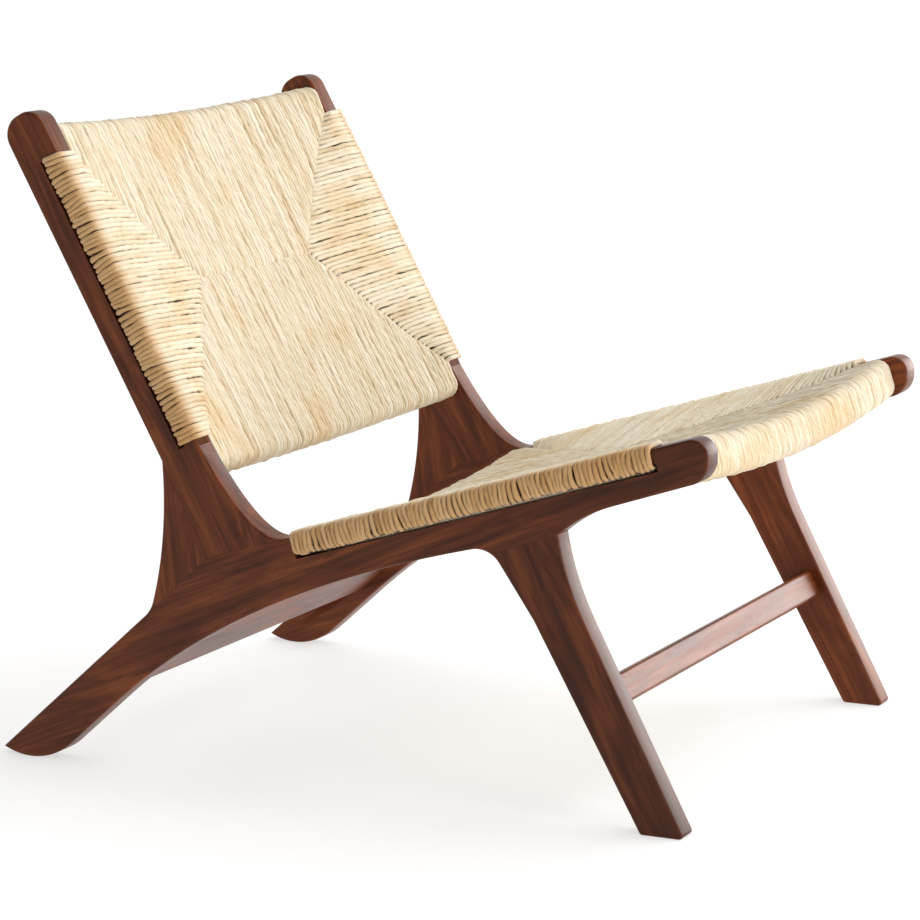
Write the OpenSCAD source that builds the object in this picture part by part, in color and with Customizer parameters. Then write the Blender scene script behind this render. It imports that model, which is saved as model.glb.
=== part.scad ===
// Low lounge chair without arms: two flat hardwood side frames, joined by four
// bowed crossbars and two stretchers, with a seat and a back of woven natural cord.
// The chair faces -Y, the floor is z = 0, and the origin is under its middle.

/* [Overall] */
// Width over the two side frames
frame_w = 636; // [600:2:680]
// Thickness of the boards that the side frames are made of
board_t = 29; // [26:1:32]
// Diameter of the woven cord
cord_d = 5.3; // [4.5:0.1:6]

/* [Seat rail and rear leg] */
// Slope of the seat, which falls towards the back
seat_slope = 17; // [14:1:20]
// Height of the line of the rail's top edge straight above the front toe
seat_h = 403.6; // [390:1:420]
// Distance from the front toe back to the knee, where rail and rear leg meet
knee_back = 536; // [520:1:550]
// Slope of the rear leg
heel_slope = 42; // [40:0.2:45]
// Width of the rear leg at its foot
heel_w = 48; // [44:1:52]
// Radius of the rear foot's rounded sole
sole_r = 75; // [60:5:90]
// How far the rail's nose stands ahead of the front toe
nose_ahead = 23; // [20:1:26]
// Depth of the rail at its nose
nose_depth = 45.5; // [42:1:48]

/* [Front leg] */
// Length of the front foot on the floor
foot_len = 48; // [44:1:52]
// Rake of the front leg's front edge, from upright
leg_front_rake = 27.6; // [27:0.1:28.5]
// Rake of the front leg's rear edge, from upright
leg_rear_rake = 29.5; // [29:0.1:30]
// Length of the leg's rear edge, from the floor up to where it starts to flare
leg_straight = 239; // [225:1:245]
// How much further back the rear edge leans along the flare
leg_flare = 5.3; // [4:0.1:7]
// Radius where the leg's rear edge flows into the rail
leg_flare_r = 29; // [24:1:34]

/* [Back post] */
// Rake of the back posts, from upright
back_rake = 29; // [26:1:31]
// Length of a back post above the knee
post_len = 505; // [480:1:520]
// Width of a back post
post_w = 49; // [46:1:52]
// Radius of the post's top corner at the front
post_front_r = 20; // [14:1:22]
// Radius of the post's top corner at the back
post_rear_r = 23; // [16:1:24]
// Reach of the hollow corner piece up the front of the post
fillet_up = 118; // [100:1:119]
// Reach of the corner piece along the top of the rail
fillet_out = 45; // [40:1:48]
// How far ahead of the square corner the corner piece's curve is pulled
fillet_pull = 7; // [3:1:10]
// Reach of the gusset up the back of the post
gusset_up = 112; // [100:1:120]
// Reach of the gusset down the rear leg
gusset_down = 95; // [85:1:100]
// Depth of the hollow in the gusset's rear edge
gusset_hollow = 14; // [8:1:18]
// Length of the small cove where the gusset runs out on the leg
gusset_cove = 10; // [6:1:14]

/* [Woven panels] */
// Thickness of the strip that the cord wraps, at the front of post and rail
strip_t = 15; // [13:1:17]
// Width of the slot behind the strip
slot_w = 8.5; // [8:0.5:13]
// Height of the crossbars, along post or rail
bar_h = 33; // [30:1:36]
// Thickness of the two back crossbars
back_bar_d = 24; // [20:1:28]
// Thickness of the two seat crossbars
seat_bar_d = 33; // [28:1:36]
// Height of the lower back crossbar above the knee, along the post
back_bar_low = 82; // [75:1:88]
// Length of the back panel, over its two crossbars
back_panel_len = 399; // [380:1:405]
// Distance from the knee forward to the rear seat crossbar
seat_bar_rear = 70; // [62:0.5:74]
// Length of the seat panel, over its two crossbars
seat_panel_len = 485; // [470:1:490]
// How far the crossbars are set behind the front edges of posts and rails
bar_sink = 5; // [2:0.5:5]
// Bow of the back crossbars, away from the sitter
back_bow = 21; // [12:1:24]
// Sag of the seat crossbars, away from the sitter
seat_bow = 15; // [8:1:18]
// Radius on the crossbars' long edges
bar_r = 8; // [5:1:10]

/* [Stretchers] */
// Height of the front stretcher's middle above the floor
front_stretcher_z = 132; // [110:1:160]
// Face height and thickness of the front stretcher
front_stretcher_size = [31, 26]; // [20:34]
// Distance from the knee down the leg to the rear stretcher
rear_stretcher_at = 122; // [115:1:130]
// Face height and thickness of the rear stretcher
rear_stretcher_size = [88, 22]; // [18:90]
// Radius on the stretchers' long edges
stretcher_r = 4; // [2:0.5:6]

/* [Joinery] */
// Depth of every blind mortise
tenon_len = 18; // [14:1:20]
// Shoulder left around a crossbar's tenon
tenon_shoulder = 6; // [4:0.5:7]
// Diameter of the dowels under the posts and on top of the front legs
dowel_d = 10; // [8:1:10]
// Length of those dowels
dowel_len = 44; // [36:2:48]
// Diameter of the gusset's dowels
small_dowel_d = 8; // [6:1:8]
// Length of the gusset's dowels
small_dowel_len = 30; // [24:2:32]
// Glue gap around a dowel
glue_gap = 0.1; // [0.05:0.05:0.15]

/* [Hidden] */

LEFT = 1;       // the sitter's left is +X
RIGHT = -1;
WOOD = "#5a2d1c";
DARK_WOOD = "#4a2417";
DOWEL_WOOD = "#c49a6c";
CORD = "#ead9b4";
STEPS = 20;     // straight pieces in each drawn curve
$fn = 720;      // smooth enough for the crossbars' long, shallow bows

inner_x = frame_w / 2 - board_t;    // inner faces of the side frames

// The side frame is drawn flat, as [y, z] with y measured back from the toe.
// A heading is the direction of travel along an edge: 0 is back, 90 is up.

function heading(a) = [cos(a), sin(a)];
function cross_of(p, q) = p.x * q.y - p.y * q.x;

// The point where the line from p with heading a meets the line from q with heading b
function meet(p, a, q, b) =
    p + heading(a) * cross_of(q - p, heading(b)) / cross_of(heading(a), heading(b));

function arc(centre, r, a0, a1) =
    [for (i = [0 : STEPS]) centre + r * heading(a0 + (a1 - a0) * i / STEPS)];

// Rounds the corner where an edge with heading a turns into one with heading b
function rounded(corner, a, b, r) =
    let (side = b > a ? 1 : -1,
         start = corner - heading(a) * r * tan(abs(b - a) / 2),
         centre = start + r * heading(a + 90 * side))
    arc(centre, r, a - 90 * side, b - 90 * side);

// Curve from p to q that leaves and arrives pointing at the corner c
function curve(p, c, q) =
    [for (i = [0 : STEPS]) let (t = i / STEPS)
        (1 - t) * (1 - t) * p + 2 * t * (1 - t) * c + t * t * q];

function last(points) = points[len(points) - 1];

// Headings of the main edges
rail_back = -seat_slope;
rail_forward = 180 - seat_slope;
heel_down = -heel_slope;
heel_up = 180 - heel_slope;
post_up = 90 - back_rake;
post_down = post_up + 180;
post_forward = post_up + 90;
leg_up = 90 - leg_rear_rake;
leg_down = -90 - leg_front_rake;
leg_axis = 90 - (leg_front_rake + leg_rear_rake) / 2;

// The knee: the post's rear edge, the rail's top and the rear leg's top meet here
knee = [knee_back, seat_h - knee_back * tan(seat_slope)];

// Rear foot: an arc that rests on the floor and runs into the leg's underside
sole_centre_above = sole_r - heel_w;
heel_normal = heading(heel_up - 90);
sole_centre = [
    (knee * heel_normal + sole_centre_above - sole_r * heel_normal.y) / heel_normal.x,
    sole_r
];
toe_angle = acos(sole_centre_above / sole_r) + heel_up + 90 - 360;
heel_tip = sole_centre + sole_r * heading(toe_angle);

// Underside of the rail, from the nose to the brow above the front leg
nose_top = [-nose_ahead, seat_h + nose_ahead * tan(seat_slope)];
nose_bottom = nose_top - [0, nose_depth];
nose_top_r = 17;
nose_bottom_r = 24;
under_slope = -18.5;
under_len = 106;
brow_start = nose_bottom + heading(under_slope) * under_len;
brow = [136.5, 298];
brow_heading = -41;
brow_drop = -99;     // heading of the leg's front edge just below the brow

// Front leg
toe = [-3, 0];
shin_len = 234;
shin_top = toe + heading(leg_down + 180) * shin_len;
foot_rear = toe + [foot_len, 0];
flare_start = foot_rear + heading(leg_up) * leg_straight;
flare_up = leg_up - leg_flare;

// Arch under the rail, from the front leg to the rear foot
arch_slope = -14;
arch_corner = [204, 281.6];
arch_flare = rounded(meet(flare_start, flare_up, arch_corner, arch_slope), flare_up, arch_slope, leg_flare_r);
sole_run = 86;      // straight underside ahead of the rear foot's sole
arch_end = sole_centre + sole_r * heading(heel_down - 90) - heading(heel_down) * sole_run;
arch = curve(last(arch_flare), meet(arch_corner, arch_slope, arch_end, heel_down), arch_end);

// Glue seam between rail and front leg, a straight line back from the brow
seam_slope = -19.7;
seam_len = 110;
seam_end = brow + heading(seam_slope) * seam_len;

side_y = (heel_tip.x - nose_ahead) / 2;     // middle of the chair, back from the toe
knee_at = [0, knee.x - side_y, knee.y];

// Woven panels. Each one is built lying in X and Z: X across the chair, Z along the
// posts or rails, and Y away from the sitter, with y = 0 on the wrapped face.
span = 2 * inner_x;
wrap_x = frame_w / 2 + cord_d;
cord_gap = 0.2;
edge_gap = 1;       // between the last turn of cord and the end of its slot

function bow_radius(bow) = (inner_x * inner_x + bow * bow) / (2 * bow);

module on_side(side) {
    mirror([side == LEFT ? 0 : 1, 0, 0])
        translate([inner_x, -side_y, 0])
            rotate([90, 0, 90])
                children();
}

module board() {
    linear_extrude(board_t)
        children();
}

// A round peg or hole in the middle of the board, centred on p, along a heading
module peg(p, a, d, len) {
    translate([p.x, p.y, board_t / 2])
        rotate([0, 90, a])
            cylinder(d = d, h = len, center = true, $fn = 48);
}

// Lies along the back posts: Z is up the post and Y is behind its front edge
module back_frame() {
    translate(knee_at)
        rotate([-back_rake, 0, 0])
            translate([0, -post_w, 0])
                children();
}

// Lies along the seat rails: Z runs back along the rail and Y is below its top edge
module seat_frame() {
    translate(knee_at)
        rotate([-seat_slope - 90, 0, 0])
            children();
}

module rounded_rect(size, r) {
    polygon(concat(
        arc([size.x - r, size.y - r], r, 0, 90),
        arc([r, size.y - r], r, 90, 180),
        arc([r, r], r, 180, 270),
        arc([size.x - r, r], r, 270, 360)
    ));
}

// Sweeps a section along the crossbars' bow. The section's X is depth away from the
// sitter, measured at the side frames, and its Y runs along the panel.
module bowed(bow) {
    r = bow_radius(bow);
    half_angle = asin(inner_x / r);
    intersection() {
        translate([0, bow - r, 0])
            rotate([0, 0, 90 - half_angle - 1])
                rotate_extrude(angle = 2 * half_angle + 2)
                    translate([r, 0])
                        children();
        translate([-inner_x, -100, -1000])
            cube([span, 200, 2000]);
    }
}

module bar_tenons(z, bar_d) {
    for (side = [LEFT, RIGHT])
        mirror([side == LEFT ? 0 : 1, 0, 0])
            translate([inner_x - tenon_shoulder, bar_sink + tenon_shoulder, z + tenon_shoulder])
                cube([tenon_len + tenon_shoulder, bar_d - 2 * tenon_shoulder, bar_h - 2 * tenon_shoulder]);
}

module crossbar(z, bar_d, bow) {
    bowed(bow)
        translate([bar_sink, z])
            rounded_rect([bar_d, bar_h], bar_r);
    bar_tenons(z, bar_d);
}

// The slot that lets the cord through a post or rail, from one crossbar to the other
module slot(z, panel_len) {
    for (side = [LEFT, RIGHT])
        mirror([side == LEFT ? 0 : 1, 0, 0])
            translate([inner_x - 1, strip_t, z + bar_h - edge_gap])
                cube([board_t + 2, slot_w, panel_len - 2 * bar_h + 2 * edge_gap]);
}

// Cord around one strip, seen along the panel: over the strip's face, round the outer
// face, back through the slot and down to the layer behind
module wrap_section(bar_d) {
    lip_x = inner_x - cord_d;
    back_y = bar_sink + bar_d + cord_d;
    polygon([
        [lip_x, -cord_d], [wrap_x - cord_d / 2, -cord_d], [wrap_x, -cord_d / 2],
        [wrap_x, strip_t + cord_d / 2], [wrap_x - cord_d / 2, strip_t + cord_d],
        [inner_x, strip_t + cord_d], [inner_x, back_y], [lip_x, back_y], [lip_x, strip_t],
        [frame_w / 2, strip_t], [frame_w / 2, 0], [inner_x, 0], [inner_x, bar_sink], [lip_x, bar_sink]
    ]);
}

// A flat sleeve of cord over both crossbars, and the wraps around the two strips
module weave(z, panel_len, bar_d, bow) {
    bowed(bow)
        difference() {
            translate([bar_sink - cord_d, z - cord_d])
                rounded_rect([bar_d + 2 * cord_d, panel_len + 2 * cord_d], bar_r + cord_d);
            translate([bar_sink - cord_gap, z - cord_gap])
                rounded_rect([bar_d + 2 * cord_gap, panel_len + 2 * cord_gap], bar_r + cord_gap);
        }
    for (side = [LEFT, RIGHT])
        mirror([side == LEFT ? 0 : 1, 0, 0])
            translate([0, 0, z + bar_h])
                linear_extrude(panel_len - 2 * bar_h)
                    wrap_section(bar_d);
}

// A straight stretcher: its section's X is its face height and its Y its thickness
module stretcher(size) {
    rotate([90, 0, 90])
        translate([0, 0, -inner_x])
            linear_extrude(span)
                translate([-size.x / 2, -size.y / 2])
                    rounded_rect(size, stretcher_r);
    stretcher_tenons(size);
}

module stretcher_tenons(size) {
    cube([span + 2 * tenon_len, size.x - 2 * tenon_shoulder, size.y - 2 * tenon_shoulder], center = true);
}

module at_front_stretcher() {
    middle = meet([toe.x + foot_len / 2, 0], leg_axis, [0, front_stretcher_z], 0);
    translate([0, middle.x - side_y, middle.y])
        rotate([leg_axis, 0, 0])
            children();
}

module at_rear_stretcher() {
    translate(knee_at)
        rotate([heel_down, 0, 0])
            translate([0, rear_stretcher_at + rear_stretcher_size.x / 2, -heel_w / 2])
                children();
}

// Rail, rear leg and front leg as one outline, before the front leg is cut off
module lower_blank() {
    polygon(concat(
        [toe, foot_rear, flare_start], arch_flare, arch,
        arc(sole_centre, sole_r, heel_down - 90, -90), arc(sole_centre, sole_r, -90, toe_angle),
        [knee],
        rounded(nose_top, rail_forward, 270, nose_top_r),
        rounded(nose_bottom, -90, under_slope, nose_bottom_r),
        curve(brow_start, meet(brow_start, under_slope, brow, brow_heading), brow),
        curve(brow, meet(brow, brow_drop, toe, leg_down), shin_top)
    ));
}

// Everything below the glue seam on the front leg's side
module leg_side_of_seam() {
    polygon([brow - [200, 0], brow, seam_end, [seam_end.x, -1], [toe.x - 1, -1]]);
}

// Middles of the dowels, each on its glue seam
leg_pegs = [for (at = [22, 56]) brow + heading(seam_slope) * at];
post_pegs = [for (at = [14, 36]) knee + heading(rail_forward) * at];
gusset_peg_up = knee + heading(post_up) * gusset_up * 0.46;
gusset_peg_down = knee + heading(heel_down) * gusset_down * 0.48;

module leg_pegs(d, len) {
    for (p = leg_pegs)
        peg(p, seam_slope + 90, d, len);
}

module post_pegs(d, len) {
    for (p = post_pegs)
        peg(p, post_up, d, len);
}

module gusset_pegs(d, len) {
    peg(gusset_peg_up, post_forward, d, len);
    peg(gusset_peg_down, heel_up - 90, d, len);
}

module dowel_holes() {
    leg_pegs(dowel_d + 2 * glue_gap, dowel_len);
    post_pegs(dowel_d + 2 * glue_gap, dowel_len);
    gusset_pegs(small_dowel_d + 2 * glue_gap, small_dowel_len);
}

module seat_bar_mortises() {
    seat_frame() {
        bar_tenons(-seat_bar_rear - bar_h, seat_bar_d);
        bar_tenons(-seat_bar_rear - seat_panel_len, seat_bar_d);
    }
}

module back_bar_mortises() {
    back_frame() {
        bar_tenons(back_bar_low, back_bar_d);
        bar_tenons(back_bar_low + back_panel_len - bar_h, back_bar_d);
    }
}

module seat_rail(side) {
    color(WOOD)
        difference() {
            on_side(side)
                difference() {
                    board()
                        difference() {
                            lower_blank();
                            leg_side_of_seam();
                        }
                    dowel_holes();
                }
            seat_frame()
                slot(-seat_bar_rear - seat_panel_len, seat_panel_len);
            seat_bar_mortises();
            at_rear_stretcher()
                stretcher_tenons(rear_stretcher_size);
        }
}

module front_leg(side) {
    color(DARK_WOOD)
        difference() {
            on_side(side)
                difference() {
                    board()
                        intersection() {
                            lower_blank();
                            leg_side_of_seam();
                        }
                    dowel_holes();
                }
            at_front_stretcher()
                stretcher_tenons(front_stretcher_size);
        }
}

// The post's foot is cut along the rail's top edge
module back_post(side) {
    top = knee + heading(post_up) * post_len;
    front = knee + heading(post_forward) * post_w;
    color(WOOD)
        difference() {
            on_side(side)
                difference() {
                    board()
                        polygon(concat(
                            [knee],
                            rounded(top, post_up, post_forward, post_rear_r),
                            rounded(top + front - knee, post_forward, post_down, post_front_r),
                            [meet(front, post_up, knee, rail_forward)]
                        ));
                    dowel_holes();
                }
            back_frame()
                slot(back_bar_low, back_panel_len);
            back_bar_mortises();
        }
}

module post_fillet(side) {
    corner = meet(knee + heading(post_forward) * post_w, post_up, knee, rail_forward);
    hollow = curve(
        corner + heading(post_up) * fillet_up,
        corner + heading(rail_forward) * fillet_pull,
        corner + heading(rail_forward) * fillet_out
    );
    color(DARK_WOOD)
        on_side(side)
            board()
                polygon(concat([corner], hollow));
}

module rear_gusset(side) {
    up = knee + heading(post_up) * gusset_up;
    down = knee + heading(heel_down) * gusset_down;
    pull = (up + down) / 2 - [gusset_hollow, 0];
    rise = down + (pull - down) * gusset_cove / norm(pull - down);
    color(DARK_WOOD)
        on_side(side)
            difference() {
                board()
                    polygon(concat(
                        [knee],
                        curve(down + heading(heel_down) * gusset_cove, down, rise),
                        curve(rise, pull, up)
                    ));
                dowel_holes();
            }
}

module leg_dowels(side) {
    color(DOWEL_WOOD)
        on_side(side)
            leg_pegs(dowel_d, dowel_len);
}

module post_dowels(side) {
    color(DOWEL_WOOD)
        on_side(side)
            post_pegs(dowel_d, dowel_len);
}

module gusset_dowels(side) {
    color(DOWEL_WOOD)
        on_side(side)
            gusset_pegs(small_dowel_d, small_dowel_len);
}

module back_top_crossbar() {
    color(WOOD)
        back_frame()
            crossbar(back_bar_low + back_panel_len - bar_h, back_bar_d, back_bow);
}

module back_bottom_crossbar() {
    color(WOOD)
        back_frame()
            crossbar(back_bar_low, back_bar_d, back_bow);
}

module seat_front_crossbar() {
    color(WOOD)
        seat_frame()
            crossbar(-seat_bar_rear - seat_panel_len, seat_bar_d, seat_bow);
}

module seat_rear_crossbar() {
    color(WOOD)
        seat_frame()
            crossbar(-seat_bar_rear - bar_h, seat_bar_d, seat_bow);
}

module front_stretcher() {
    color(WOOD)
        at_front_stretcher()
            stretcher(front_stretcher_size);
}

module rear_stretcher() {
    color(WOOD)
        at_rear_stretcher()
            stretcher(rear_stretcher_size);
}

module back_weave() {
    color(CORD)
        back_frame()
            weave(back_bar_low, back_panel_len, back_bar_d, back_bow);
}

module seat_weave() {
    color(CORD)
        seat_frame()
            weave(-seat_bar_rear - seat_panel_len, seat_panel_len, seat_bar_d, seat_bow);
}

seat_rail(LEFT);  // seat_rail_left
seat_rail(RIGHT);  // seat_rail_right
front_leg(LEFT);  // front_leg_left
front_leg(RIGHT);  // front_leg_right
back_post(LEFT);  // back_post_left
back_post(RIGHT);  // back_post_right
post_fillet(LEFT);  // post_fillet_left
post_fillet(RIGHT);  // post_fillet_right
rear_gusset(LEFT);  // rear_gusset_left
rear_gusset(RIGHT);  // rear_gusset_right
leg_dowels(LEFT);  // leg_dowels_left
leg_dowels(RIGHT);  // leg_dowels_right
post_dowels(LEFT);  // post_dowels_left
post_dowels(RIGHT);  // post_dowels_right
gusset_dowels(LEFT);  // gusset_dowels_left
gusset_dowels(RIGHT);  // gusset_dowels_right
back_top_crossbar();
back_bottom_crossbar();
seat_front_crossbar();
seat_rear_crossbar();
front_stretcher();
rear_stretcher();
back_weave();
seat_weave();
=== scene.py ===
"""Looks of a low lounge chair: dark hardwood side frames and a seat and back woven from natural cord.

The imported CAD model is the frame. The boards are redrawn from their own outlines with eased edges,
each woven panel is laid turn by turn from real strands, and the rest of the CAD gets its materials.
"""
import math
from collections import Counter

import bpy
import bmesh
import numpy as np
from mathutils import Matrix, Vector


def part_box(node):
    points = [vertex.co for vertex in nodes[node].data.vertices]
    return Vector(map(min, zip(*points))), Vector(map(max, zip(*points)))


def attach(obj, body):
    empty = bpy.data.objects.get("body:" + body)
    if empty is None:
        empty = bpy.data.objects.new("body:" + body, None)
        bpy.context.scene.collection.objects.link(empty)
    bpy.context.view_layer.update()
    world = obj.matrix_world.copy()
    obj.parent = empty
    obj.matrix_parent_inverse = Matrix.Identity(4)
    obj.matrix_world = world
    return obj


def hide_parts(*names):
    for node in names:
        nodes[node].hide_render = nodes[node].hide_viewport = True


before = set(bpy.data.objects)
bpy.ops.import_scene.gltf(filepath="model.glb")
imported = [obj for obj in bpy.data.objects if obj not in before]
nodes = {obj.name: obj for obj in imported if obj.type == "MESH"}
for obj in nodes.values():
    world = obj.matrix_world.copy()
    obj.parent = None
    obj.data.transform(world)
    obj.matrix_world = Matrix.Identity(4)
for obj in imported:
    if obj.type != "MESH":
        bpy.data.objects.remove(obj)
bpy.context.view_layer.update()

MM = 0.001

# Boards
EASE = 2.5 * MM             # rounding of the boards' long edges
EASE_STEPS = 4
CORNER = 4 * MM             # rounding of the corners of the feet, in the board's outline
CORNER_LEAST = 25           # smallest turn, in degrees, that counts as a corner
CORNER_STEPS = 4
SUPPORT = 0.4 * MM          # narrow flat band that keeps the faces' shading flat
CUTTER_MARGIN = 6 * MM      # how far a board's cutter reaches past its free edges
CUTTER_DEPTH = 10 * MM      # how far a cutter reaches past both faces
SEAM = 0.06 * MM            # hairline left at each glue seam, on either side
SNAP = 0.02 * MM            # points closer than this are one point
BOARDS = ("seat_rail", "front_leg", "back_post", "post_fillet", "rear_gusset")
JOINED = ("leg_dowels", "post_dowels", "gusset_dowels")
CROSS_MEMBERS = (
    "back_top_crossbar", "back_bottom_crossbar", "seat_front_crossbar", "seat_rear_crossbar",
    "front_stretcher", "rear_stretcher",
)

# Cord
STRIP = 15 * MM             # depth of the strip that the cord wraps on each post and rail
BAR_ROUND = 8 * MM          # rounding of the crossbars' edges
BACK_ROUND = 2 * MM         # rounding of the strip's rear edge
PITCH = 5.36 * MM           # spacing of the strands
SIDES = 8                   # sides of a strand's section
STRAIGHT_STEP = 5 * MM      # spacing of a strand's points where it runs straight
LEAST_STEP = 0.3 * MM       # points closer than this to the one before are left out
TWIST = 38 * MM             # length of one turn of the two plies in a strand
FLATNESS = 0.11             # how much the two plies widen the strand one way and thin it the other
ANY_PHASE = (0, 6.28)       # range of a random phase, in radians
WANDER_WAVES = (0.23, 0.09, 0.045)      # wavelengths of a strand's wander, in metres
WANDER_LEVEL = 0.48         # about the root of the longest, so that its share is near 1
SIDE_WANDER = (0.35, 0.25)  # wander of a strand from a side, sideways and in depth, in mm
BAR_WANDER = (0.55, 0.35)   # the same for a strand from a crossbar
SIDE_THICKNESS = (1.0, 1.12)            # range of a side strand's radius, times the cord's
BAR_THICKNESS = (1.02, 1.24)            # the same for a strand from a crossbar
SWELL = (0.05, 0.031)       # thickening along a strand: share of its radius, wavelength in metres
LUMPS = ((0.04, 0.017), (0.05, 0.083))  # the same for lumps on one side and on three sides
LEAN = 1.7 * MM             # how far a turn leans on the strip's side
LEAN_WAVES = (0.0125, 0.0053)           # how the lean changes from turn to turn, in metres per radian
TUCK = 1.6 * MM             # how much deeper a strand tucked under the side strands starts
TUCK_RUN = 16 * MM          # length over which it comes up
TUCK_TAPER = 0.4            # how much thinner it starts
TAPER_RUN = 14 * MM         # length over which it reaches its full thickness
CORNER_RUN = 45 * MM        # nearer than this to a corner of the panel, the valley fades out


# ---------------------------------------------------------------- small helpers

def new_object(name, mesh):
    made = bpy.data.objects.new(name, mesh)
    bpy.context.scene.collection.objects.link(made)
    return made


def baked_mesh(made):
    """The object's mesh with its modifiers applied."""
    graph = bpy.context.evaluated_depsgraph_get()
    return bpy.data.meshes.new_from_object(made.evaluated_get(graph))


def boolean(made, other, operation):
    cut = made.modifiers.new("cut", "BOOLEAN")
    cut.operation = operation
    cut.object = other
    cut.solver = "MANIFOLD"
    mesh = baked_mesh(made)
    made.modifiers.clear()
    made.data = mesh


def weld(mesh):
    work = bmesh.new()
    work.from_mesh(mesh)
    bmesh.ops.remove_doubles(work, verts=work.verts, dist=1e-6)
    bmesh.ops.dissolve_degenerate(work, edges=work.edges, dist=1e-7)
    work.to_mesh(mesh)
    work.free()


def cut_out(made, node):
    """Cuts a CAD node's shape out of an object."""
    copy = new_object("node_cutter", nodes[node].data.copy())
    weld(copy.data)
    boolean(made, copy, "DIFFERENCE")
    bpy.data.objects.remove(copy)


def smooth_shading(made, angle=35):
    made.data.shade_smooth()
    made.data.set_sharp_from_angle(angle=math.radians(angle))


# ---------------------------------------------------------------- boards

def face_loops(node, x):
    """Loops of (y, z) points round a board's face at x: anticlockwise, but clockwise round a slot."""
    work = bmesh.new()
    work.from_mesh(nodes[node].data)
    bmesh.ops.remove_doubles(work, verts=work.verts, dist=1e-6)
    following = {}
    flat = [f for f in work.faces if all(abs(v.co.x - x) < 1e-5 for v in f.verts)]
    flat_set = set(flat)
    for face in flat:
        for loop in face.loops:
            if not all(f in flat_set for f in loop.edge.link_faces):
                following[loop.vert] = loop.link_loop_next.vert
    loops = []
    while following:
        first = next(iter(following))
        points = []
        at = first
        while at in following:
            points.append((at.co.y, at.co.z))
            at = following.pop(at)
        loops.append(points if x > 0 else points[::-1])
    work.free()
    return loops


def area(points):
    total = 0
    for (y0, z0), (y1, z1) in zip(points, points[1:] + points[:1]):
        total += y0 * z1 - y1 * z0
    return total / 2


def shared_points(outlines):
    """The same outlines as index loops into one list of points, with every T-junction filled in."""
    points = []

    def index_of(p):
        for i, q in enumerate(points):
            if math.dist(p, q) < SNAP:
                return i
        points.append(p)
        return len(points) - 1

    loops = {name: [index_of(p) for p in outline] for name, outline in outlines.items()}
    filled = {}
    for name, loop in loops.items():
        out = []
        for a, b in zip(loop, loop[1:] + loop[:1]):
            if a == b:
                continue
            start, end = np.array(points[a]), np.array(points[b])
            edge = end - start
            length = np.linalg.norm(edge)
            between = []
            for c, p in enumerate(points):
                along = (np.array(p) - start) @ edge / length
                off = abs(edge[0] * (p[1] - start[1]) - edge[1] * (p[0] - start[0])) / length
                if c not in (a, b) and SNAP < along < length - SNAP and off < SNAP:
                    between.append((along, c))
            out.append(a)
            out.extend(c for _, c in sorted(between))
        filled[name] = out
    return points, filled


def union_outline(points, loops):
    """The outline of all the boards together: shared edges cancel and the rest are chained."""
    edges = Counter()
    for loop in loops.values():
        edges.update(zip(loop, loop[1:] + loop[:1]))
    reverse = Counter({(b, a): times for (a, b), times in edges.items()})
    seams = {e for e in edges if e in reverse}
    following = dict((edges - reverse).keys())
    first = next(iter(following))
    chain = [first]
    while following[chain[-1]] != first:
        chain.append(following[chain[-1]])
    return [np.array(points[i]) for i in chain], seams


def moved_edges(outline, offsets):
    """Moves each edge of an anticlockwise outline outwards by its own offset."""
    out = []
    count = len(outline)
    for i in range(count):
        before = outline[i] - outline[i - 1]
        after = outline[(i + 1) % count] - outline[i]
        n0 = np.array([before[1], -before[0]]) / np.linalg.norm(before)
        n1 = np.array([after[1], -after[0]]) / np.linalg.norm(after)
        d0, d1 = offsets[i - 1], offsets[i]
        turn = n0[0] * n1[1] - n0[1] * n1[0]
        if abs(turn) < 0.03 and abs(d0 - d1) > 1e-9:
            out.append(outline[i] + n0 * d0)
            out.append(outline[i] + n1 * d1)
        elif abs(turn) < 1e-6:
            out.append(outline[i] + n1 * d1)
        else:
            y = (d0 * n1[1] - d1 * n0[1]) / turn
            z = (d1 * n0[0] - d0 * n1[0]) / turn
            out.append(outline[i] + np.array([y, z]))
    return out


def inset_outline(outline, inset):
    """The outline moved inwards, corner by corner; edges too short to survive shrink to a point."""
    count = len(outline)
    starts = np.array(outline)
    edges = np.roll(starts, -1, axis=0) - starts
    edges /= np.linalg.norm(edges, axis=1)[:, None]
    inward = np.stack([-edges[:, 1], edges[:, 0]], 1)
    lines = starts + inward * inset
    # alive holds the edges that still have a length once they are moved
    alive = list(range(count))
    while True:
        corners = {}
        for i, k in enumerate(alive):
            j = alive[i - 1]
            turn = edges[j][0] * edges[k][1] - edges[j][1] * edges[k][0]
            if abs(turn) < 1e-6:
                corners[k] = lines[k]
            else:
                gap = lines[k] - lines[j]
                corners[k] = lines[j] + edges[j] * (gap[0] * edges[k][1] - gap[1] * edges[k][0]) / turn
        ends = {k: corners[alive[(i + 1) % len(alive)]] for i, k in enumerate(alive)}
        lost = [k for k in alive if (ends[k] - corners[k]) @ edges[k] < 0]
        if not lost:
            break
        alive = [k for k in alive if k not in lost]
    out = []
    for k in range(count):
        while k not in corners:
            k = (k + 1) % count
        out.append(corners[k])
    return out


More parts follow.
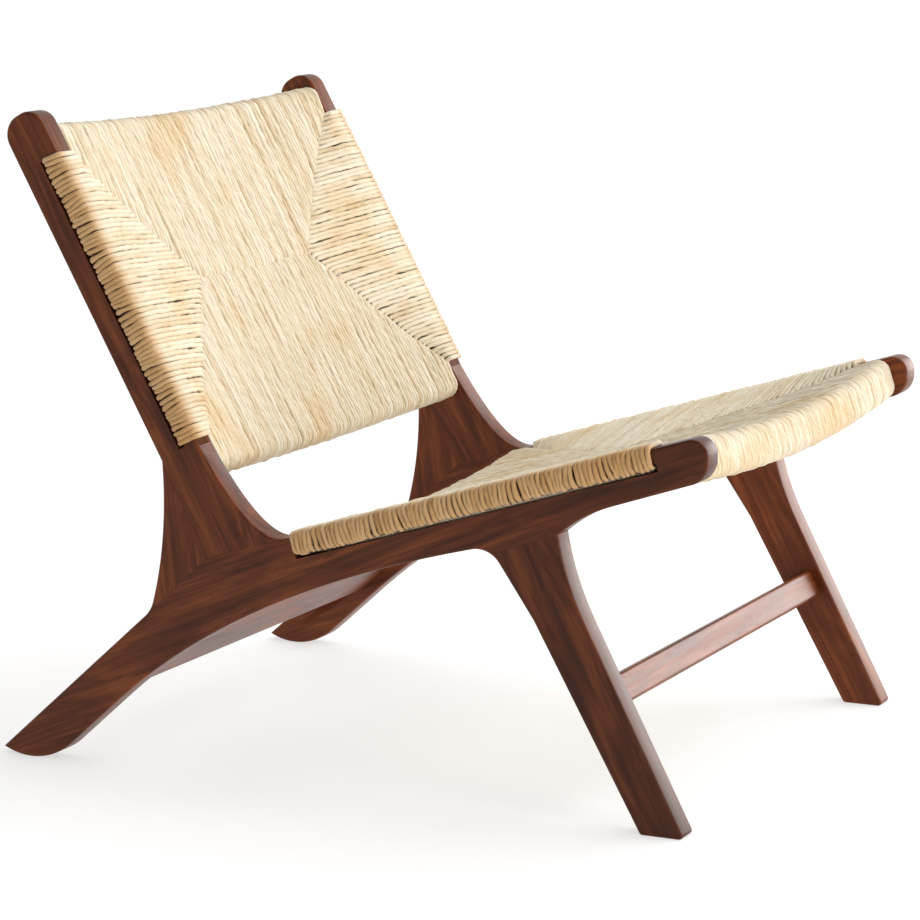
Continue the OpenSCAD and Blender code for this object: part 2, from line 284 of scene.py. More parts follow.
def soften(outline, radius):
    """Rounds the outline's sharp outer corners between long edges."""
    out = []
    count = len(outline)
    for i in range(count):
        before = outline[i] - outline[i - 1]
        after = outline[(i + 1) % count] - outline[i]
        lengths = np.linalg.norm(before), np.linalg.norm(after)
        before, after = before / lengths[0], after / lengths[1]
        angle = math.degrees(math.atan2(before[0] * after[1] - before[1] * after[0], before @ after))
        reach = radius * math.tan(math.radians(angle) / 2)
        if angle < CORNER_LEAST or reach > 0.9 * min(lengths):
            out.append(outline[i])
            continue
        centre = outline[i] - before * reach + np.array([-before[1], before[0]]) * radius
        first = outline[i] - before * reach - centre
        for k in range(CORNER_STEPS + 1):
            a = math.radians(angle * k / CORNER_STEPS)
            turned = [first[0] * math.cos(a) - first[1] * math.sin(a),
                      first[0] * math.sin(a) + first[1] * math.cos(a)]
            out.append(centre + np.array(turned))
    return out


def prism(name, rings):
    """A closed solid through rings of equal length, each a pair of x and its (y, z) points."""
    mesh = bpy.data.meshes.new(name)
    count = len(rings[0][1])
    verts = [(x, p[0], p[1]) for x, ring in rings for p in ring]
    faces = []
    for k in range(len(rings) - 1):
        for i in range(count):
            j = (i + 1) % count
            faces.append((k * count + i, k * count + j, (k + 1) * count + j, (k + 1) * count + i))
    faces.append(tuple(reversed(range(count))))
    faces.append(tuple(range((len(rings) - 1) * count, len(rings) * count)))
    mesh.from_pydata(verts, [], faces)
    weld(mesh)
    return new_object(name, mesh)


def eased_board(name, outline, x_low, x_high):
    """The outline as a board between x_low and x_high, with its long edges rounded."""
    rings = []
    for k in range(EASE_STEPS + 1):
        angle = math.radians(90 * k / EASE_STEPS)
        rings.append((EASE * (1 - math.cos(angle)), EASE * (1 - math.sin(angle))))
    rings.insert(0, (0, EASE + SUPPORT))
    insets = [(depth, inset_outline(outline, inset)) for depth, inset in rings]
    low = [(x_low + depth, ring) for depth, ring in insets]
    high = [(x_high - depth, ring) for depth, ring in reversed(insets)]
    return prism(name, low + high)


def cutter(loop, x_low, x_high):
    """A solid of the loop's shape that reaches past both faces of a board."""
    return prism("cutter", [(x_low - CUTTER_DEPTH, loop), (x_high + CUTTER_DEPTH, loop)])


def side_frame(side):
    """The boards of one side frame as separate solids, rounded as one shape and parted at the seams."""
    x_low, x_high = [corner.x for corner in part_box(f"back_post_{side}")]
    outer_x = x_high if side == "left" else x_low
    outlines, slots = {}, []
    for board in BOARDS:
        for loop in face_loops(f"{board}_{side}", outer_x):
            if area(loop) > 0:
                outlines[board] = loop
            else:
                slots.append([np.array(p) for p in reversed(loop)])
    points, loops = shared_points(outlines)
    outline, seams = union_outline(points, loops)
    whole = eased_board(f"whole_{side}", soften(outline, CORNER), x_low, x_high)
    for loop in slots:
        slot = cutter(loop, x_low, x_high)
        boolean(whole, slot, "DIFFERENCE")
        bpy.data.objects.remove(slot)
    for node in (*CROSS_MEMBERS, *(f"{pegs}_{side}" for pegs in JOINED)):
        cut_out(whole, node)
    made = {}
    for board, loop in loops.items():
        offsets = [-SEAM if e in seams else CUTTER_MARGIN for e in zip(loop, loop[1:] + loop[:1])]
        region = cutter(moved_edges([np.array(points[i]) for i in loop], offsets), x_low, x_high)
        piece = new_object(f"{board}_{side}_eased", whole.data.copy())
        boolean(piece, region, "INTERSECT")
        bpy.data.objects.remove(region)
        smooth_shading(piece)
        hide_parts(f"{board}_{side}")
        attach(piece, "root")
        made[board] = piece
    bpy.data.objects.remove(whole)
    return made


# ---------------------------------------------------------------- woven panels

class Panel:
    """A woven panel's own frame: x across the chair, y away from the sitter, z along posts or rails.

    z is 0 at the outer edge of the low crossbar, and y is 0 on the front edges of posts or rails.
    """

    def __init__(self, low_bar, high_bar, weave):
        low, high = [sum(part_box(bar), Vector()) / 2 for bar in (low_bar, high_bar)]
        self.z_axis = (high - low).normalized()
        self.x_axis = Vector((1, 0, 0))
        self.y_axis = self.z_axis.cross(self.x_axis)
        self.origin = Vector((0, 0, 0))
        self.inner_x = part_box("back_post_left")[0].x
        self.outer_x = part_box("back_post_left")[1].x
        cord_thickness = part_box(weave)[1].x - self.outer_x
        self.radius = cord_thickness / 2
        face_y = self.local(weave)[:, 1].min() + cord_thickness
        self.origin = self.y_axis * face_y + self.z_axis * self.local(low_bar)[:, 2].min()
        bar = self.local(low_bar)
        end = bar[np.abs(bar[:, 0] - self.inner_x) < 1e-4]
        self.sink = bar[:, 1].min()
        self.bar_d = np.ptp(end[:, 1])
        self.bow = bar[:, 1].max() - self.bar_d - self.sink
        self.low = np.ptp(bar[:, 2])
        self.length = self.local(high_bar)[:, 2].max()
        self.high = self.length - self.low

    def local(self, node):
        """A CAD node's vertices in the panel's frame."""
        points = np.array([v.co for v in nodes[node].data.vertices]) - np.array(self.origin)
        return points @ np.array([self.x_axis, self.y_axis, self.z_axis]).T

    def world(self, points):
        return np.array(self.origin) + points @ np.array([self.x_axis, self.y_axis, self.z_axis])

    def bar_face(self, x):
        """Depth of the crossbars' front face."""
        return self.sink + self.bow * (1 - (x / self.inner_x) ** 2)


class Weave:
    """The turns of cord on one panel, laid as four fields that meet at mitres and a short ridge."""

    def __init__(self, panel, apex_x, ridge, valley, seed):
        self.panel = panel
        self.apex_x = apex_x            # half the length of the ridge
        self.ridge = ridge              # where the ridge lies, along z
        self.valley = valley            # how far the strands dip towards the mitres
        self.random = np.random.default_rng(seed)
        self.lean_start = seed          # where the slow wave of leaning turns begins
        self.strands = []

    def mitre_x(self, z):
        """Distance from the middle at which a side strand meets the mitre."""
        p = self.panel
        corner = p.low if z < self.ridge else p.high
        share = min(max((z - corner) / (self.ridge - corner), 0), 1)
        return p.inner_x + (self.apex_x - p.inner_x) * share

    def mitre_z(self, x, corner):
        """Where an up-and-down strand meets the mitre, or the ridge, on the side of one crossbar."""
        p = self.panel
        share = min((p.inner_x - abs(x)) / (p.inner_x - self.apex_x), 1)
        return corner + (self.ridge - corner) * share

    def valley_at(self, x):
        """How far the strands dip below the crossbars' bow where they meet the mitre at x."""
        p = self.panel
        reach = p.inner_x - max(abs(x), self.apex_x)
        share = reach / (p.inner_x - self.apex_x)
        return self.valley * (1 - 0.65 * share) * min(reach / CORNER_RUN, 1)

    def lay(self, points, field, across, gaps=(), taper=0.0):
        """Adds one strand. across is the direction in which it may wander, in the panel's frame.

        gaps holds (distance along, half length, push) for each place where the strand gives way, and
        taper is how much thinner the strand starts.
        """
        rng = self.random
        kept = [points[0]]
        kept += [b for a, b in zip(points, points[1:]) if math.dist(a, b) > LEAST_STEP]
        points = np.array(kept, float)
        steps = np.linalg.norm(np.diff(points, axis=0), axis=1)
        run = np.concatenate([[0], np.cumsum(steps)])
        from_side = field in ("left", "right")
        side, deep = SIDE_WANDER if from_side else BAR_WANDER
        wander = np.zeros(len(run))
        sink = np.zeros(len(run))
        for wave in WANDER_WAVES:
            share = wave ** 0.5 / WANDER_LEVEL
            wander += share * np.sin(run / wave * 2 * math.pi + rng.uniform(*ANY_PHASE)) * side * MM
            sink += share * np.sin(run / wave * 2 * math.pi + rng.uniform(*ANY_PHASE)) * deep * MM
        for at, half, push in gaps:
            wander += push * np.exp(-(((run - at) / half) ** 2))
        points = points + wander[:, None] * np.array(across) + sink[:, None] * np.array([0, 1, 0])
        thick = self.panel.radius * rng.uniform(*(SIDE_THICKNESS if from_side else BAR_THICKNESS))
        swell, wave = SWELL
        radii = thick * (1 + swell * np.sin(run / wave * 2 * math.pi + rng.uniform(*ANY_PHASE)))
        radii *= 1 - taper * np.clip(1 - run / TAPER_RUN, 0, 1)
        # the fourth phase isn't used, but its draw keeps the strands that follow as they are
        self.strands.append({
            "points": self.panel.world(points), "radii": radii, "run": run + rng.uniform(0, 5),
            "tone": rng.uniform(), "field": field, "phase": rng.uniform(*ANY_PHASE, 4),
        })


def spread(start, end):
    """Parameters from start to end, about STRAIGHT_STEP apart."""
    count = max(int(abs(end - start) / STRAIGHT_STEP), 2)
    return np.linspace(start, end, count + 1)


def turn(centre, radius, start, end, steps=4):
    """Points round part of a circle, angles in degrees."""
    angles = np.radians(np.linspace(start, end, steps + 1))
    return [(centre[0] + radius * math.cos(a), centre[1] + radius * math.sin(a)) for a in angles]


def side_strand(weave, side, z, gaps):
    """One turn round the strip of a post or rail: front of the panel, strip, slot, back of the panel."""
    p = weave.panel
    rng = weave.random
    r = p.radius
    mitre = weave.mitre_x(z)
    reach = max(p.inner_x - mitre, 1 * MM)
    # neighbouring turns lean together, a few one way and then a few the other
    slow, quick = LEAN_WAVES
    lean = math.sin(z / slow + weave.lean_start) + 0.8 * math.sin(z / quick + 2 * weave.lean_start)
    slant = lean * LEAN + rng.uniform(-0.4, 0.4) * MM
    deepest = p.bar_face(mitre) - r + weave.valley_at(mitre)
    # the inner end, as offsets in mm, dives at the mitre, and in the low half it turns to the crossbar
    if z < weave.ridge:
        dive = [(-1.0, 8.0, -9.0), (-1.0, 3.4, -6.5), (0, 0.8, -3.6), (1.4, 0, -1.4)]
    else:
        dive = [(-4.5, 8.0, 1.0), (-4.0, 4.0, 1.0), (-2.0, 1.2, 0.6), (1.0, 0, 0)]
    path = [(mitre + dx * MM, deepest + dy * MM, z + dz * MM) for dx, dy, dz in dive]

    # the front of the panel, up to the strip
    first = mitre + 4.5 * MM
    for x in spread(first, max(p.inner_x, first + 2 * MM)):
        share = max((p.inner_x - x) / reach, 0)
        path.append((x, -r + (deepest + r) * (0.85 * share + 0.15 * share * share), z))

    # round the strip and back through the slot
    for k, (x, y) in enumerate(turn((p.outer_x - EASE, EASE), r + EASE, -90, 0)):
        path.append((x, y, z + slant * k / 8))
    bulge = rng.uniform(-0.6, 1.2) * MM
    path.append((p.outer_x + r + bulge, STRIP * 0.55, z + slant * 0.7))
    deep = STRIP + rng.uniform(-0.4, 1.6) * MM
    for x, y in turn((p.outer_x - BACK_ROUND, deep - BACK_ROUND), r + BACK_ROUND, 0, 90):
        path.append((x, y, z + slant))
    path.append(((p.outer_x + p.inner_x) / 2, deep + r, z + slant * 0.6))

    # the back of the panel, to the mitre
    back = p.bar_face(mitre) + p.bar_d + r - 0.5 * weave.valley_at(mitre)
    for x in spread(p.inner_x, mitre + 3 * MM):
        share = min((p.inner_x - x) / reach, 1)
        path.append((x, deep + r + (back - deep - r) * share ** 0.7, z))
    path += [(mitre - 1 * MM, back - 2 * MM, z), (mitre - 3 * MM, back - 7 * MM, z)]
    flipped = [(side * x, y, zz) for x, y, zz in path]
    # the wraps themselves stay tight
    gaps = [gap for gap in gaps if gap[0] + 1.4 * gap[1] < reach + 20 * MM]
    weave.lay(flipped, "left" if side > 0 else "right", (0, 0, 1), gaps)


def bar_strand(weave, x, low_bar, gaps):
    """One turn round a crossbar, from the mitre or ridge on the front to the one on the back."""
    p = weave.panel
    rng = weave.random
    r = p.radius
    corner, away = (p.low, -1) if low_bar else (p.high, 1)
    edge = 0 if low_bar else p.length
    mitre = weave.mitre_z(x, corner) - away * rng.uniform(-1.5, 1.5) * MM
    reach = max(abs(mitre - corner), 1 * MM)
    face = p.bar_face(x)
    valley = weave.valley_at(x)
    ridge = abs(x) < weave.apex_x
    # at the high crossbar's mitres the inner end is tucked under the side strands
    tucked = not (ridge or low_bar)
    past = 2.5 * MM if ridge else (1 * MM if low_bar else 0)
    front = face - r + valley
    path = [(x, front + 9 * MM, mitre - away * (past + 1.5 * MM)),
            (x, front + 4 * MM, mitre - away * past),
            (x, front + 0.8 * MM, mitre + away * 2 * MM)]

    # the front of the panel, up to the crossbar's edge
    sink = TUCK if tucked else 0.0
    stop = edge - away * BAR_ROUND
    for z in spread(mitre + away * 5 * MM, stop):
        run = abs(z - mitre)
        dip = valley * max(1 - run / reach, 0)
        path.append((x, face - r + dip + sink * max(1 - run / TUCK_RUN, 0), z))

    # round the crossbar
    tight = rng.uniform(-0.3, 0.5) * MM
    bend = BAR_ROUND + r + tight
    for a, b in turn((BAR_ROUND, BAR_ROUND), bend, 180, 270)[1:]:
        path.append((x, face + a, edge - away * b))
    path.append((x, face + p.bar_d / 2, edge + away * (r + tight)))
    for a, b in turn((BAR_ROUND, BAR_ROUND), bend, 270, 360):
        path.append((x, face + p.bar_d - 2 * BAR_ROUND + a, edge - away * b))

    # the back of the panel, to the mitre
    back = face + p.bar_d + r
    for z in spread(stop, mitre + away * 4 * MM)[1:]:
        path.append((x, back - 0.5 * valley * max(1 - abs(z - mitre) / reach, 0), z))
    last = path[-1][1]
    path += [(x, last - 2.5 * MM, mitre), (x, last - 8 * MM, mitre - away * 2 * MM)]
    weave.lay(path, "low" if low_bar else "high", (1, 0, 0), gaps, TUCK_TAPER if tucked else 0.0)


def partings(weave, strands, count, nearest, furthest, push):
    """Short slits where two strands part, as {strand: [(distance along, half length, push)]}."""
    rng = weave.random
    found = {}
    for _ in range(count):
        strand = int(rng.integers(1, strands - 2))
        at = rng.uniform(nearest, furthest)
        half = rng.uniform(4, 20) * MM
        force = rng.uniform(0.5, 1.0) * push
        found.setdefault(strand, []).append((at, half, -force))
        found.setdefault(strand + 1, []).append((at, half, force))
    return found


def weave_panel(weave):
    """Lays every turn of one panel, side by side along its strips and its crossbars."""
    p = weave.panel
    rng = weave.random
    count = round((p.high - p.low) / PITCH)
    width = (p.high - p.low) / count
    for side in (-1, 1):
        parted = partings(weave, count, 30, nearest=15 * MM, furthest=150 * MM, push=1.1 * MM)
        for k in range(count):
            z = p.low + (k + 0.5) * width + rng.normal(0, 0.16) * MM
            side_strand(weave, side, z, parted.get(k, ()))
    count = round(2 * p.inner_x / PITCH)
    width = 2 * p.inner_x / count
    for low_bar in (True, False):
        parted = partings(weave, count, 90, nearest=10 * MM, furthest=260 * MM, push=1.0 * MM)
        for k in range(count):
            x = -p.inner_x + (k + 0.5) * width + rng.normal(0, 0.3) * MM
            bar_strand(weave, x, low_bar, parted.get(k, ()))


def sections(points):
    """Two directions across a path at each point, turning as little as possible along it."""
    steps = np.diff(points, axis=0)
    steps /= np.linalg.norm(steps, axis=1)[:, None]
    # the two weights differ a little, so that a path that doubles back still has a tangent
    tangents = np.concatenate([steps[:1], steps[:-1] + 1.001 * steps[1:], steps[-1:]])
    tangents /= np.linalg.norm(tangents, axis=1)[:, None]
    start = np.cross(tangents[0], np.array([0.31, 0.52, 0.79]))
    normals = [start / np.linalg.norm(start)]
    for t in tangents[1:]:
        n = normals[-1] - (normals[-1] @ t) * t
        normals.append(n / np.linalg.norm(n))
    normals = np.array(normals)
    return normals, np.cross(tangents, normals)


def strands_object(name, strands):
    """One mesh of closed tubes, with the strand's length as UV and its tone as an attribute."""
    verts, tones, quads, caps, uvs, cap_uvs = [], [], [], [], [], []
    base = 0
    angles = np.arange(SIDES) * 2 * math.pi / SIDES
    ring = np.arange(SIDES)
    for strand in strands:
        points, radii = strand["points"], strand["radii"]
        n, b = sections(points)
        around = np.cos(angles)[None, :, None] * n[:, None] + np.sin(angles)[None, :, None] * b[:, None]
        a, run, phase = angles[None], strand["run"][:, None], strand["phase"]
        plies = FLATNESS * np.cos(2 * (a - 2 * math.pi * run / TWIST + phase[0]))
        (single, short), (triple, long) = LUMPS
        lumps = single * np.sin(run / short * 2 * math.pi + a + phase[1])
        lumps = lumps + triple * np.sin(run / long * 2 * math.pi + 3 * a + phase[2])
        radii = radii[:, None] * (1 + plies + lumps)
        verts.append((points[:, None] + around * radii[:, :, None]).reshape(-1, 3))
        tones.append(np.full(len(points) * SIDES, strand["tone"]))
        rows = np.arange(len(points) - 1)[:, None] * SIDES
        after = (ring + 1) % SIDES
        quad = np.stack([rows + ring, rows + after, rows + SIDES + after, rows + SIDES + ring], -1)
        quads.append(base + quad.reshape(-1, 4))
        u0 = np.broadcast_to(ring / SIDES, quad.shape[:2])
        u1 = u0 + 1 / SIDES
        v0 = np.broadcast_to(strand["run"][:-1, None], quad.shape[:2])
        v1 = np.broadcast_to(strand["run"][1:, None], quad.shape[:2])
        uv = np.stack([np.stack(c, -1) for c in ((u0, v0), (u1, v0), (u1, v1), (u0, v1))], 2)
        uvs.append(uv.reshape(-1, 2))
        caps.append(base + ring[::-1])
        caps.append(base + (len(points) - 1) * SIDES + ring)
        cap_uvs += [np.stack([ring / SIDES, np.full(SIDES, strand["run"][0])], -1)] * 2
        base += len(points) * SIDES
    verts = np.concatenate(verts)
    quads = np.concatenate(quads)
    caps = np.array(caps)
    corners = np.concatenate([quads.ravel(), caps.ravel()])
    sizes = np.concatenate([np.full(len(quads), 4), np.full(len(caps), SIDES)])
    mesh = bpy.data.meshes.new(name)
    mesh.vertices.add(len(verts))
    mesh.vertices.foreach_set("co", verts.astype(np.float32).ravel())
    mesh.loops.add(len(corners))
    mesh.loops.foreach_set("vertex_index", corners.astype(np.int32))
    mesh.polygons.add(len(sizes))
    mesh.polygons.foreach_set("loop_start", (np.cumsum(sizes) - sizes).astype(np.int32))
    mesh.update(calc_edges=True)
    mesh.validate()
    uv = mesh.uv_layers.new(name="strand")
    uv_values = np.concatenate(uvs + cap_uvs)
    uv.data.foreach_set("uv", uv_values.astype(np.float32).ravel())
    tone = mesh.attributes.new("tone", "FLOAT", "POINT")
    tone.data.foreach_set("value", np.concatenate(tones).astype(np.float32))
    mesh.shade_smooth()
    return new_object(name, mesh)


# ---------------------------------------------------------------- materials

class Graph:
    """Short names for building a material's nodes."""

    def __init__(self, name):
        self.material = bpy.data.materials.new(name)
        self.material.use_nodes = True
        self.tree = self.material.node_tree
        self.shader = self.tree.nodes["Principled BSDF"]

    def node(self, kind, **values):
        made = self.tree.nodes.new(kind)
        for key, value in values.items():
            setattr(made, key, value)
        return made

    def link(self, source, target):
        self.tree.links.new(source, target)

    def feed(self, value, socket):
        """Links a socket to another, or sets its own number or colour."""
        if isinstance(value, bpy.types.NodeSocket):
            self.link(value, socket)
        else:
            socket.default_value = (*value, 1) if isinstance(value, tuple) else value

    def noise(self, vector, scale, detail=4.0, roughness=0.55, distortion=0.0):
        made = self.node("ShaderNodeTexNoise")
        made.inputs["Scale"].default_value = scale
        made.inputs["Detail"].default_value = detail
        made.inputs["Roughness"].default_value = roughness
        made.inputs["Distortion"].default_value = distortion
        self.link(vector, made.inputs["Vector"])
        return made.outputs["Fac"]

    def stretched(self, vector, scale, turn=(0, 0, 0), move=(0, 0, 0)):
        made = self.node("ShaderNodeMapping")
        made.inputs["Scale"].default_value = scale
        made.inputs["Rotation"].default_value = turn
        made.inputs["Location"].default_value = move
        self.link(vector, made.inputs["Vector"])
        return made.outputs["Vector"]

    def ramp(self, value, stops):
        made = self.node("ShaderNodeValToRGB")
        band = made.color_ramp
        while len(band.elements) < len(stops):
            band.elements.new(0.5)
        for element, (at, colour) in zip(band.elements, stops):
            element.position = at
            element.color = (*colour, 1)
        self.link(value, made.inputs["Fac"])
        return made.outputs["Color"]

    def mix(self, factor, a, b, blend="MIX"):
        made = self.node("ShaderNodeMix", data_type="RGBA", blend_type=blend)
        for value, socket in ((factor, made.inputs[0]), (a, made.inputs[6]), (b, made.inputs[7])):
            self.feed(value, socket)
        return made.outputs[2]

    def math(self, operation, a, b=0.0):
        made = self.node("ShaderNodeMath", operation=operation)
        self.feed(a, made.inputs[0])
        self.feed(b, made.inputs[1])
        return made.outputs[0]

    def joined(self, x, y, z):
        made = self.node("ShaderNodeCombineXYZ")
        for value, socket in zip((x, y, z), made.inputs):
            self.feed(value, socket)
        return made.outputs["Vector"]

    def split(self, vector):
        made = self.node("ShaderNodeSeparateXYZ")
        self.link(vector, made.inputs["Vector"])
        return made.outputs

    def scaled(self, value, low, high, to_low, to_high):
        made = self.node("ShaderNodeMapRange")
        numbers = {"From Min": low, "From Max": high, "To Min": to_low, "To Max": to_high}
        for key, number in numbers.items():
            made.inputs[key].default_value = number
        self.link(value, made.inputs["Value"])
        return made.outputs["Result"]

    def bump(self, height, distance, strength=1.0, below=None):
        made = self.node("ShaderNodeBump")
        made.inputs["Distance"].default_value = distance
        made.inputs["Strength"].default_value = strength
        self.link(height, made.inputs["Height"])
        if below is not None:
            self.link(below, made.inputs["Normal"])
        return made.outputs["Normal"]


def hardwood(name, lean, seed, tone=1.0, painted_front_shade=1.0, gloss=0.25, across=False):
    """Red-brown stained hardwood in satin lacquer. lean turns the grain, in degrees, up from level.

    The front shade factor paints shade: it darkens the wood towards the front of the chair, and across
    lays the grain along X.
    """
    g = Graph(name)
    place = g.node("ShaderNodeTexCoord").outputs["Object"]
    move = (seed * 0.37, seed * 0.61, seed * 0.23)
    turned = g.stretched(place, (1, 1, 1), (math.radians(-lean), 0, 0), move)

    def grain(fine, long):
        return g.stretched(turned, (long, fine, fine) if across else (fine, long, fine))

    figure = g.noise(grain(14, 1.6), 2.4, 4, 0.55, 2.2)
    streaks = g.noise(grain(90, 2.6), 1.6, 6, 0.65, 0.8)
    fibres = g.noise(grain(420, 9), 1.0, 3, 0.6)
    pores = g.noise(grain(900, 38), 1.0, 2, 0.5)

    dark = tuple(c * tone for c in (0.050, 0.0115, 0.0040))
    middle = tuple(c * tone for c in (0.112, 0.0260, 0.0080))
    light = tuple(c * tone for c in (0.205, 0.0530, 0.0150))
    amount = g.math("ADD", g.math("MULTIPLY", figure, 0.6), g.math("MULTIPLY", streaks, 0.4))
    colour = g.ramp(amount, [(0.38, dark), (0.50, middle), (0.62, light)])
    colour = g.mix(g.scaled(fibres, 0.35, 0.7, 0.0, 0.35), colour, tuple(c * 0.55 for c in middle))
    pore = g.scaled(pores, 0.62, 0.72, 0.0, 0.55)
    colour = g.mix(pore, colour, tuple(c * 0.5 for c in dark))
    # painted shade: the wood darkens towards the front of the chair
    if painted_front_shade < 1:
        front_shade_mask = g.scaled(g.split(place)["Y"], -0.05, -0.40, 0.0, 1.0)
        colour = g.mix(front_shade_mask, colour, (painted_front_shade, painted_front_shade, painted_front_shade), "MULTIPLY")
    g.link(colour, g.shader.inputs["Base Color"])
    g.link(g.scaled(streaks, 0.3, 0.7, 0.30, 0.42), g.shader.inputs["Roughness"])
    height = g.math("SUBTRACT", g.math("MULTIPLY", fibres, 0.35), pore)
    g.link(g.bump(height, 0.1 * MM), g.shader.inputs["Normal"])
    g.shader.inputs["Specular IOR Level"].default_value = gloss
    g.shader.inputs["Specular Tint"].default_value = (1.0, 0.86, 0.78, 1)
    return g.material


def bare_wood():
    """Pale beech of the dowels."""
    g = Graph("bare_dowel_wood")
    place = g.node("ShaderNodeTexCoord").outputs["Object"]
    fibres = g.noise(g.stretched(place, (300, 60, 60)), 1.0, 4, 0.6)
    colour = g.ramp(fibres, [(0.3, (0.42, 0.25, 0.13)), (0.7, (0.66, 0.46, 0.28))])
    g.link(colour, g.shader.inputs["Base Color"])
    g.link(g.scaled(fibres, 0.3, 0.7, 0.6, 0.75), g.shader.inputs["Roughness"])
    g.link(g.bump(fibres, 0.1 * MM), g.shader.inputs["Normal"])
    return g.material


def cord(name, streaky):
    """Undyed plant-fibre cord: pale straw with golden, tan and brown lengths, faintly twisted.

    streaky is how much the strands differ from each other.
    """
    g = Graph(name)
    uv = g.split(g.node("ShaderNodeUVMap", uv_map="strand").outputs["UV"])
    around, along = uv["X"], uv["Y"]
    tone = g.node("ShaderNodeAttribute", attribute_name="tone").outputs["Fac"]
    place = g.node("ShaderNodeTexCoord").outputs["Object"]

    # the fibres run along the strand and wind slowly round it
    twist = g.math("ADD", around, g.math("MULTIPLY", along, 1 / (30 * MM)))
    round_it = g.math("MULTIPLY", g.math("SINE", g.math("MULTIPLY", twist, 2 * math.pi)), 1.6)
    winding = g.joined(round_it, g.math("MULTIPLY", along, 26), g.math("MULTIPLY", tone, 91))
    fibres = g.noise(winding, 3.2, 4, 0.65)
    flecks = g.noise(winding, 9.0, 2, 0.5)
    lengthwise = g.joined(0, g.math("MULTIPLY", along, 9), g.math("MULTIPLY", tone, 57))
    lengths = g.noise(lengthwise, 1.4, 3, 0.6)
    patches = g.noise(place, 9, 2, 0.5)

    shade = g.math("ADD", g.math("MULTIPLY", tone, streaky), g.math("MULTIPLY", lengths, 0.55))
    shade = g.math("ADD", shade, g.math("MULTIPLY", fibres, 0.45))
    colour = g.ramp(g.scaled(shade, 0.30, 0.72 + streaky, 0, 1), [
        (0.00, (0.33, 0.22, 0.112)), (0.14, (0.53, 0.40, 0.215)), (0.32, (0.68, 0.57, 0.395)),
        (0.60, (0.745, 0.67, 0.52)), (1.00, (0.795, 0.75, 0.64)),
    ])
    colour = g.mix(g.scaled(patches, 0.54, 0.68, 0.0, 0.45), colour, (0.90, 0.70, 0.40), "MULTIPLY")
    colour = g.mix(g.scaled(flecks, 0.67, 0.75, 0.0, 0.6), colour, (0.30, 0.18, 0.09))

    # painted shade: the outer sides of the wraps, which stand in shade, are darkened to gold
    off_middle = g.math("ABSOLUTE", g.split(place)["X"])
    off_middle = g.math("ADD", off_middle, g.math("MULTIPLY", fibres, 12 * MM))
    painted_shade_outside = g.scaled(off_middle, 309.5 * MM, 328 * MM, 0.0, 1.0)
    colour = g.mix(painted_shade_outside, colour, (0.75, 0.53, 0.31), "MULTIPLY")
    g.link(colour, g.shader.inputs["Base Color"])
    g.link(g.scaled(fibres, 0.3, 0.7, 0.70, 0.88), g.shader.inputs["Roughness"])

    # a coarse relief of twisted plies under the fine one of the fibres
    plies = g.math("ADD", around, g.math("MULTIPLY", along, 1 / (14 * MM)))
    coarse = g.bump(g.math("SINE", g.math("MULTIPLY", plies, 4 * math.pi)), 0.14 * MM, 0.5)
    g.link(g.bump(fibres, 0.4 * MM, 0.7, coarse), g.shader.inputs["Normal"])
    g.shader.inputs["Sheen Weight"].default_value = 0.12
    g.shader.inputs["Sheen Roughness"].default_value = 0.5
    return g.material


# ---------------------------------------------------------------- the chair

def paint(made, material):
    made.data.materials.clear()
    made.data.materials.append(material)


def make_side_frames():
    leans = {"seat_rail": -22, "front_leg": 62, "back_post": 61, "post_fillet": 70, "rear_gusset": 84}
    # painted light and shade: the left (far) frame's wood is made lighter than the right (near) frame's,
    # for the light that falls on each
    tones = {"left": 1.2, "right": 1.0}
    # painted shade: how far each frame's wood darkens towards the front, most on the right (near) frame
    painted_front_shades = {"left": 0.95, "right": 0.55}
    for side in ("left", "right"):
        for k, (board, made) in enumerate(side_frame(side).items()):
            seed = 3 * k + len(side)
            name = f"hardwood_{board}_{side}"
            paint(made, hardwood(name, leans[board], seed, tones[side], painted_front_shades[side]))


def make_cross_members():
    wood = hardwood("hardwood_across", 0, 21, 1.15, gloss=0.38, across=True)
    for node in CROSS_MEMBERS:
        paint(nodes[node], wood)


def make_dowels():
    bare = bare_wood()
    for side in ("left", "right"):
        for pegs in JOINED:
            paint(nodes[f"{pegs}_{side}"], bare)


def make_weave(name, weave):
    weave_panel(weave)
    side_cord = cord(f"{name}_side_cord", 0.20)
    bar_cord = cord(f"{name}_bar_cord", 0.30)
    for field in ("left", "right", "low", "high"):
        strands = [s for s in weave.strands if s["field"] == field]
        made = strands_object(f"{name}_{field}_strands", strands)
        paint(made, side_cord if field in ("left", "right") else bar_cord)
        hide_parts(name)
        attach(made, "root")


def make_weaves():
    back = Panel("back_bottom_crossbar", "back_top_crossbar", "back_weave")
    seat = Panel("seat_front_crossbar", "seat_rear_crossbar", "seat_weave")
    back_ridge = back.low + 0.52 * (back.high - back.low)
    seat_ridge = seat.low + 0.49 * (seat.high - seat.low)
    make_weave("back_weave", Weave(back, 127 * MM, back_ridge, 2.5 * MM, 11))
    make_weave("seat_weave", Weave(seat, 80 * MM, seat_ridge, 3.5 * MM, 23))


# ---------------------------------------------------------------- stage, light and camera

def make_floor():
    """A wide white floor that glows a little, so that the chair's shadow on it stays faint."""
    mesh = bpy.data.meshes.new("floor")
    reach = 40
    corners = [(-reach, -reach, 0), (reach, -reach, 0), (reach, reach, 0), (-reach, reach, 0)]
    mesh.from_pydata(corners, [], [(0, 1, 2, 3)])
    floor = new_object("floor", mesh)
    g = Graph("pale_floor")
    g.shader.inputs["Base Color"].default_value = (0.42, 0.42, 0.42, 1)
    g.shader.inputs["Emission Color"].default_value = (1, 1, 1, 1)
    g.shader.inputs["Emission Strength"].default_value = 0.6
    g.shader.inputs["Roughness"].default_value = 0.9
    g.shader.inputs["Specular IOR Level"].default_value = 0.1
    paint(floor, g.material)


def aim(made, target):
    direction = Vector(target) - made.location
    made.rotation_euler = direction.to_track_quat("-Z", "Y").to_euler()


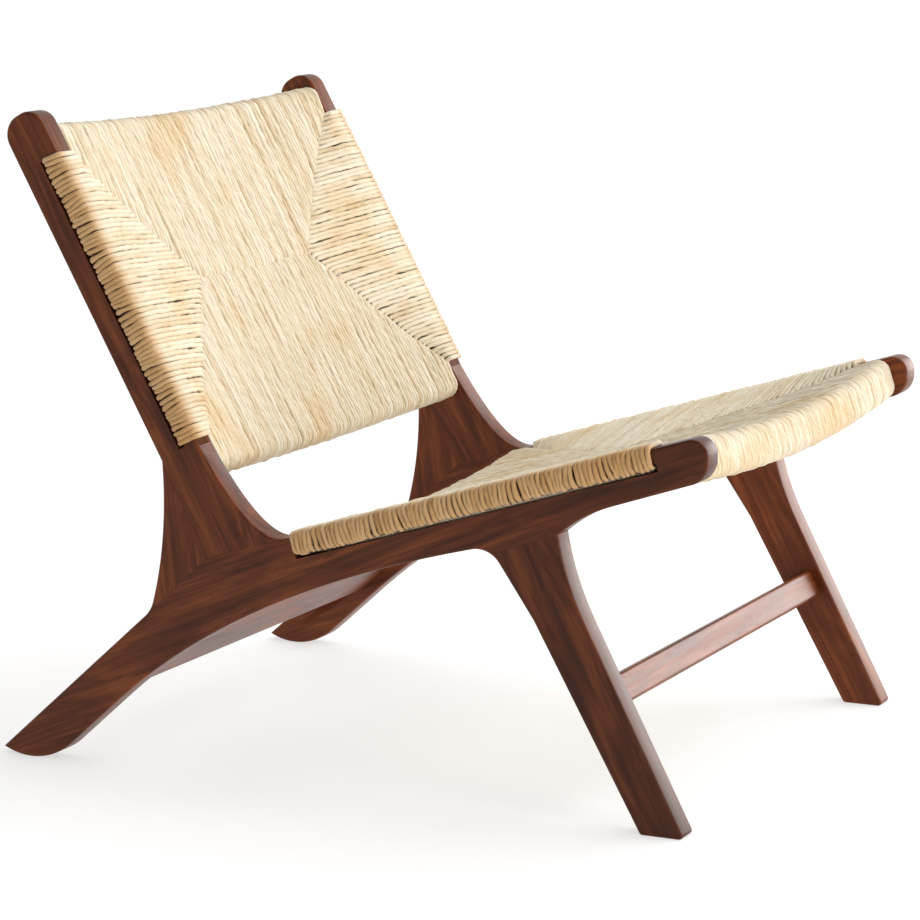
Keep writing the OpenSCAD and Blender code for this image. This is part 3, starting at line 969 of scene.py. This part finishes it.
def area_light(name, place, target, size, power, colour):
    light = bpy.data.lights.new(name, "AREA")
    light.color = colour
    light.shape = "RECTANGLE"
    light.size, light.size_y = size
    light.energy = power
    made = new_object(name, light)
    made.location = place
    made.visible_camera = False
    aim(made, target)


def make_lights():
    """A pale studio, dimmer on the sitter's right, with a broad key and two standing softboxes."""
    world = bpy.data.worlds.new("studio")
    world.use_nodes = True
    tree = world.node_tree
    background = tree.nodes["Background"]
    place = tree.nodes.new("ShaderNodeTexCoord")
    split = tree.nodes.new("ShaderNodeSeparateXYZ")
    level = tree.nodes.new("ShaderNodeMapRange")
    for key, value in (("From Min", -1), ("From Max", 0.6), ("To Min", 0.22), ("To Max", 0.98)):
        level.inputs[key].default_value = value
    tree.links.new(place.outputs["Generated"], split.inputs["Vector"])
    tree.links.new(split.outputs["X"], level.inputs["Value"])
    # the backdrop itself is plain white from every side
    rays = tree.nodes.new("ShaderNodeLightPath")
    seen = tree.nodes.new("ShaderNodeMix")
    seen.inputs["B"].default_value = 1
    tree.links.new(rays.outputs["Is Camera Ray"], seen.inputs["Factor"])
    tree.links.new(level.outputs["Result"], seen.inputs["A"])
    tree.links.new(seen.outputs["Result"], background.inputs["Strength"])
    background.inputs["Color"].default_value = (1, 1, 1, 1)
    bpy.context.scene.world = world
    sun = bpy.data.lights.new("key", "SUN")
    sun.energy = 1.22
    sun.angle = math.radians(50)
    made = new_object("key", sun)
    made.location = (1.6, -2.0, 3.2)
    aim(made, (0, 0, 0))
    area_light("right_softbox", (3.2, -1.6, 0.9), (0, 0, 0.35), (2.4, 1.8), 66, (1, 0.95, 0.92))
    area_light("front_softbox", (-1.3, -3.4, 0.7), (0, 0, 0.35), (0.9, 1.6), 52, (1, 0.86, 0.76))


def make_camera():
    """The camera stands to the sitter's right of the front, a little above the chair."""
    azimuth, elevation = math.radians(-64.52), math.radians(10.11)
    field_of_view = math.radians(14.69)
    place = Vector((-3.504, -1.6597, 0.995))
    lens = bpy.data.cameras.new("camera")
    lens.sensor_width = 36
    lens.lens = lens.sensor_width / 2 / math.tan(field_of_view / 2)
    camera = new_object("camera", lens)
    camera.location = place
    back = Vector((math.sin(azimuth) * math.cos(elevation), -math.cos(azimuth) * math.cos(elevation),
                   math.sin(elevation)))
    camera.rotation_euler = (-back).to_track_quat("-Z", "Y").to_euler()
    bpy.context.scene.camera = camera


make_camera()
make_floor()
make_lights()
make_side_frames()
make_cross_members()
make_dowels()
make_weaves()
bpy.context.scene.view_settings.view_transform = "Standard"
